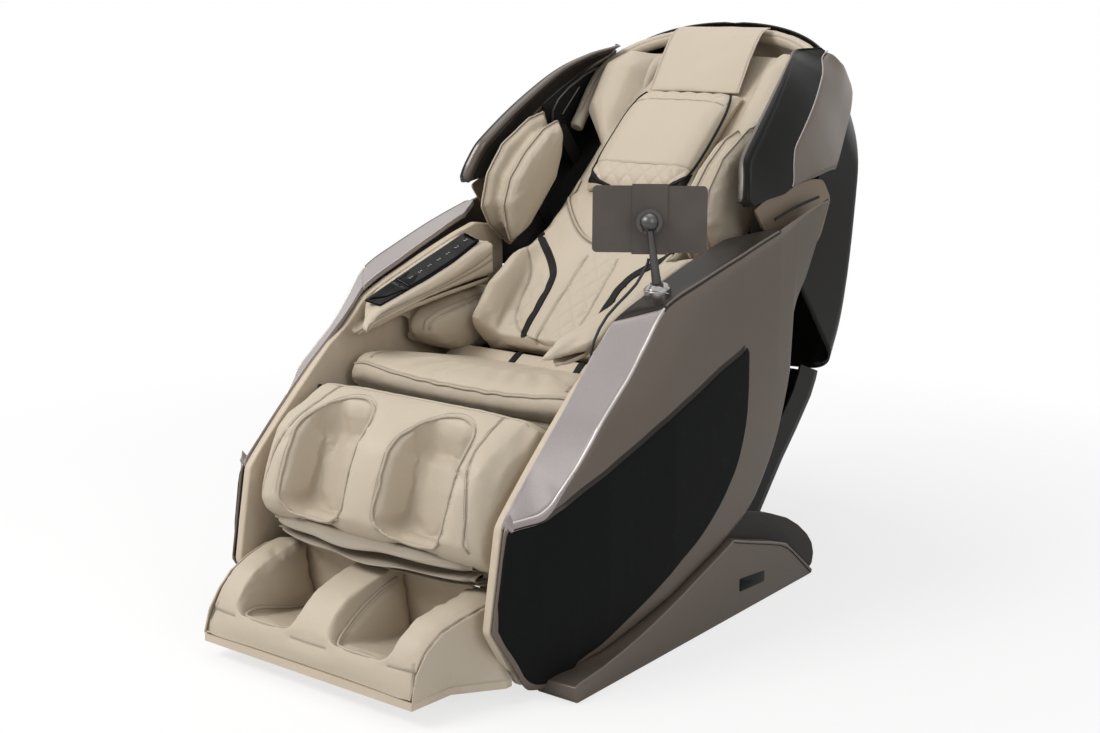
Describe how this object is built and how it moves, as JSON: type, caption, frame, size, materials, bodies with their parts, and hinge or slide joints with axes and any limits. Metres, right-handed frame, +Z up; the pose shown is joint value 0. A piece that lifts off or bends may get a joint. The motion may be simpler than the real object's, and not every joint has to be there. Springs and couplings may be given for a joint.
{
  "type": "massage chair",
  "caption": "Reclining massage chair with bronze side shells, cream padding, wings, a calf and foot rest, a roller carriage behind the back pad and a tablet stand.",
  "frame": {"origin": "on the floor under the middle of the chair, without its cable", "axes": "+Z up; the sitter faces -Y; +X is the side of the arm with the tablet stand"},
  "size_m": [0.892, 1.5992, 1.2209],
  "materials": {
    "frame_steel": "satin black powder coat",
    "rail_steel": "bright",
    "base_cover": "satin bronze-black",
    "dark_gloss": "gloss black",
    "foot_rubber": "matte",
    "black_plastic": "fine matte",
    "rocker_red": "gloss",
    "wheel_rubber": "matte",
    "bronze_shell": "metallic bronze-grey, satin",
    "cream_leather": "smooth semi-matte",
    "silver_trim": "metallic silver, satin",
    "rod_steel": "polished",
    "roller_white": "moulded",
    "roller_grey": "smooth",
    "tablet_body": "satin anodised",
    "cable_black": "satin"
  },
  "bodies": {
    "base": {"base_frame": "frame_steel", "base_rails": "rail_steel", "skid_covers": "base_cover", "skid_rear_caps": "dark_gloss", "base_feet": "foot_rubber", "power_panel": "black_plastic", "control_box": "black_plastic", "air_pump": "black_plastic"},
    "power_rocker": {"power_rocker": "rocker_red"},
    "left_wheel": {"left_transport_wheel": "wheel_rubber"},
    "right_wheel": {"right_transport_wheel": "wheel_rubber"},
    "seat_unit": {"seat_frame": "frame_steel", "rail_blocks": "black_plastic", "seat_cushion": "cream_leather", "left_side_shell": "bronze_shell", "right_side_shell": "bronze_shell", "side_inlay_panels": "dark_gloss", "inner_liners": "cream_leather", "left_arm_pad": "cream_leather", "right_arm_pad": "cream_leather", "arm_airbags": "cream_leather", "control_panel": "dark_gloss", "stand_foot": "silver_trim", "lower_rear_cover": "black_plastic", "tablet_cable": "cable_black"},
    "recline_motor": {"recline_motor": "black_plastic"},
    "recline_rod": {"recline_rod": "rod_steel"},
    "legrest_motor": {"legrest_motor": "black_plastic"},
    "legrest_rod": {"legrest_rod": "rod_steel"},
    "backrest": {"back_frame": "frame_steel", "massage_rails": "rail_steel", "rear_cover": "black_plastic", "back_pad": "cream_leather", "head_rim": "cream_leather", "head_pillow": "cream_leather", "head_flap": "cream_leather", "left_shoulder_airbags": "cream_leather", "right_shoulder_airbags": "cream_leather", "left_wing_front": "dark_gloss", "right_wing_front": "dark_gloss", "wing_rear_panels": "bronze_shell", "wing_lips": "silver_trim", "speaker_panels": "dark_gloss", "back_side_panels": "bronze_shell"},
    "massage_carriage": {"massage_carriage": "black_plastic"},
    "kneading_shaft": {"kneading_shaft": "rail_steel"},
    "roller_yoke": {"roller_yoke": "roller_white"},
    "upper_rollers": {"upper_rollers": "roller_grey"},
    "lower_rollers": {"lower_rollers": "roller_grey"},
    "legrest": {"legrest_frame": "frame_steel", "calf_shell": "black_plastic", "calf_cushion": "cream_leather", "calf_gusset": "cream_leather"},
    "footrest": {"footrest_shell": "black_plastic", "foot_cushion": "cream_leather"},
    "foot_rollers": {"foot_rollers": "roller_grey"},
    "tablet_stem": {"tablet_stem": "silver_trim"},
    "tablet_ring": {"tablet_ring": "silver_trim"},
    "tablet_holder": {"tablet_holder": "silver_trim", "tablet": "tablet_body"}
  },
  "joints": [
    {"name": "seat_slide", "type": "slide", "parent": "base", "child": "seat_unit", "axis": [0, -1, 0], "range_m": [0, 0.12]},
    {"name": "power_rocker", "type": "hinge", "parent": "base", "child": "power_rocker", "pos_m": [0, 0.286, 0.036], "axis": [1, 0, 0], "range_deg": [0, 18]},
    {"name": "left_wheel_spin", "type": "hinge", "parent": "base", "child": "left_wheel", "pos_m": [0.227, 0.322, 0.038], "axis": [1, 0, 0], "continuous": true},
    {"name": "right_wheel_spin", "type": "hinge", "parent": "base", "child": "right_wheel", "pos_m": [-0.227, 0.322, 0.038], "axis": [1, 0, 0], "continuous": true},
    {"name": "backrest_recline", "type": "hinge", "parent": "seat_unit", "child": "backrest", "pos_m": [0, 0.06, 0.43], "axis": [-1, 0, 0], "range_deg": [0, 30]},
    {"name": "recline_motor_tilt", "type": "hinge", "parent": "seat_unit", "child": "recline_motor", "pos_m": [-0.09, -0.33, 0.2], "axis": [1, 0, 0], "range_deg": [-1, 8]},
    {"name": "recline_rod_travel", "type": "slide", "parent": "recline_motor", "child": "recline_rod", "axis": [0, 0.9512, 0.3085], "range_m": [-0.045, 0.005]},
    {"name": "legrest_lift", "type": "hinge", "parent": "seat_unit", "child": "legrest", "pos_m": [0, -0.415, 0.455], "axis": [-1, 0, 0], "range_deg": [0, 60]},
    {"name": "legrest_motor_tilt", "type": "hinge", "parent": "seat_unit", "child": "legrest_motor", "pos_m": [0.09, -0.02, 0.19], "axis": [1, 0, 0], "range_deg": [-1, 4]},
    {"name": "legrest_rod_travel", "type": "slide", "parent": "legrest_motor", "child": "legrest_rod", "axis": [0, -0.8795, 0.4759], "range_m": [-0.005, 0.07]},
    {"name": "footrest_extend", "type": "slide", "parent": "legrest", "child": "footrest", "axis": [0, -0.454, -0.891], "range_m": [0, 0.12]},
    {"name": "foot_roller_spin", "type": "hinge", "parent": "footrest", "child": "foot_rollers", "pos_m": [0, -0.65, 0.036], "axis": [1, 0, 0], "continuous": true},
    {"name": "carriage_travel", "type": "slide", "parent": "backrest", "child": "massage_carriage", "axis": [0, 0.7547, 0.6561], "range_m": [0, 0.45]},
    {"name": "kneading_spin", "type": "hinge", "parent": "massage_carriage", "child": "kneading_shaft", "pos_m": [0, 0.23506, 0.57158], "axis": [1, 0, 0], "continuous": true},
    {"name": "yoke_rock", "type": "hinge", "parent": "massage_carriage", "child": "roller_yoke", "pos_m": [0, 0.23506, 0.57158], "axis": [1, 0, 0], "range_deg": [-4, 4]},
    {"name": "upper_roller_spin", "type": "hinge", "parent": "roller_yoke", "child": "upper_rollers", "pos_m": [0, 0.24511, 0.65451], "axis": [1, 0, 0], "continuous": true},
    {"name": "lower_roller_spin", "type": "hinge", "parent": "roller_yoke", "child": "lower_rollers", "pos_m": [0, 0.15153, 0.57316], "axis": [1, 0, 0], "continuous": true},
    {"name": "stand_swivel", "type": "hinge", "parent": "seat_unit", "child": "tablet_stem", "pos_m": [0.358, -0.15, 0.71127], "axis": [0, -0.225, 0.9744], "range_deg": [-60, 60]},
    {"name": "tablet_tilt", "type": "hinge", "parent": "tablet_stem", "child": "tablet_ring", "pos_m": [0.358, -0.18307, 0.8545], "axis": [0.8387, 0.5446, 0], "range_deg": [-3, 15]},
    {"name": "tablet_roll", "type": "hinge", "parent": "tablet_ring", "child": "tablet_holder", "pos_m": [0.358, -0.18307, 0.8545], "axis": [-0.5393, 0.8305, -0.1392], "range_deg": [-20, 20]}
  ],
  "couplings": [
    {"joint": "seat_slide", "follows": "backrest_recline", "m_per_rad": 0.22536},
    {"joint": "recline_motor_tilt", "follows": "backrest_recline", "ratio": 0.217},
    {"joint": "recline_rod_travel", "follows": "backrest_recline", "m_per_rad": -0.0755},
    {"joint": "legrest_motor_tilt", "follows": "legrest_lift", "ratio": 0.043},
    {"joint": "legrest_rod_travel", "follows": "legrest_lift", "m_per_rad": 0.0565},
    {"joint": "footrest_extend", "follows": "legrest_lift", "m_per_rad": 0.11268}
  ]
}
